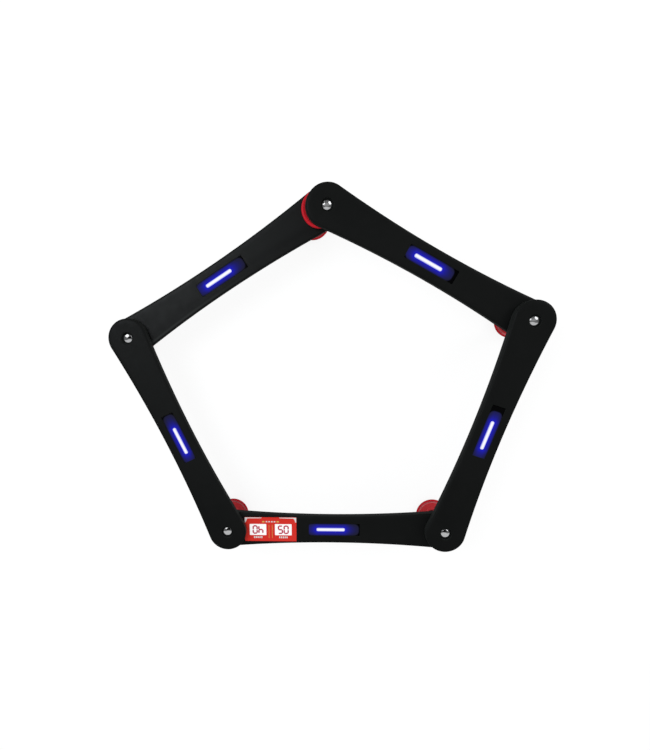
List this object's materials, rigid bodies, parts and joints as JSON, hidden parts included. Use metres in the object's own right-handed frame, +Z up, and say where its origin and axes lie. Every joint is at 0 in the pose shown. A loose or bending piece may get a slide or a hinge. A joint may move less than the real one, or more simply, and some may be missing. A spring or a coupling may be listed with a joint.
{
  "type": "stick and ball handling trainer",
  "caption": "Ring of waisted arms hinged end to end on vertical pins, standing on round feet so a ball can run underneath, with lit windows and a counter display",
  "frame": {"origin": "on the floor, at the centre of the bottom-left foot, straight under the bottom-left hinge pin", "axes": "+X along the control arm from the bottom-left to the bottom-right pin, +Y towards the inside of the ring, +Z up"},
  "size_m": [0.6583, 0.5459, 0.1152],
  "materials": {
    "arm_plastic": "moulded, fine satin texture",
    "base_plastic": "moulded, fine matt texture",
    "window_black": "tinted, polished",
    "light_bar": "milky diffuser, lit",
    "circuit_board": "solder mask",
    "sensor_red": "tinted, polished",
    "screw_steel": "zinc plated",
    "display_overlay": "printed film",
    "display_glass": "white display face",
    "cell_foil": "laminated foil",
    "port_steel": "stamped shell",
    "buzzer_black": "moulded",
    "button_red": "moulded, soft",
    "leg_steel": "black coating",
    "foot_red": "moulded, semi-gloss",
    "pad_rubber": "matt",
    "pin_chrome": "polished",
    "bush_nylon": "turned nylon"
  },
  "bodies": {
    "control_arm": {"control_cover": "arm_plastic", "control_base": "base_plastic", "control_window": "window_black", "control_light_bar": "light_bar", "control_board": "circuit_board", "control_sensor_lens": "sensor_red", "control_screws": "screw_steel", "display_panel": "display_overlay", "display_screens": "display_glass", "display_board": "circuit_board", "battery_pack": "cell_foil", "charge_port": "port_steel", "buzzer": "buzzer_black", "control_legs": "leg_steel", "control_feet": "foot_red", "control_foot_pads": "pad_rubber", "control_pin_heads": "pin_chrome"},
    "power_button": {"power_button": "button_red"},
    "left_arm": {"left_cover": "arm_plastic", "left_base": "base_plastic", "left_window": "window_black", "left_light_bar": "light_bar", "left_board": "circuit_board", "left_sensor_lens": "sensor_red", "left_screws": "screw_steel", "left_bushes": "bush_nylon"},
    "top_left_arm": {"top_left_cover": "arm_plastic", "top_left_base": "base_plastic", "top_left_window": "window_black", "top_left_light_bar": "light_bar", "top_left_board": "circuit_board", "top_left_sensor_lens": "sensor_red", "top_left_screws": "screw_steel", "top_left_legs": "leg_steel", "top_left_feet": "foot_red", "top_left_foot_pads": "pad_rubber", "left_pin_head": "pin_chrome", "rest_cap": "foot_red"},
    "right_arm": {"right_cover": "arm_plastic", "right_base": "base_plastic", "right_window": "window_black", "right_light_bar": "light_bar", "right_board": "circuit_board", "right_sensor_lens": "sensor_red", "right_screws": "screw_steel", "right_bush": "bush_nylon", "right_leg": "leg_steel", "right_foot": "foot_red", "right_foot_pad": "pad_rubber", "right_pin_head": "pin_chrome"},
    "top_right_arm": {"top_right_cover": "arm_plastic", "top_right_base": "base_plastic", "top_right_window": "window_black", "top_right_light_bar": "light_bar", "top_right_board": "circuit_board", "top_right_sensor_lens": "sensor_red", "top_right_screws": "screw_steel", "top_right_bush": "bush_nylon", "free_end_bolt": "pin_chrome"}
  },
  "joints": [
    {"name": "left_arm_hinge", "type": "hinge", "parent": "control_arm", "child": "left_arm", "pos_m": [0, 0, 0.088], "axis": [0, 0, 1], "range_deg": [0, 140]},
    {"name": "top_left_arm_hinge", "type": "hinge", "parent": "left_arm", "child": "top_left_arm", "pos_m": [-0.14315, 0.30839, 0.088], "axis": [0, 0, 1], "range_deg": [0, 200]},
    {"name": "right_arm_hinge", "type": "hinge", "parent": "control_arm", "child": "right_arm", "pos_m": [0.34, 0, 0.088], "axis": [0, 0, -1], "range_deg": [0, 140]},
    {"name": "top_right_arm_hinge", "type": "hinge", "parent": "right_arm", "child": "top_right_arm", "pos_m": [0.45069, 0.32148, 0.074], "axis": [0, 0, -1], "range_deg": [0, 170]},
    {"name": "power_button_press", "type": "slide", "parent": "control_arm", "child": "power_button", "axis": [0, 0, 1], "range_m": [0, 0.001], "stiffness_N_per_m": 400}
  ]
}
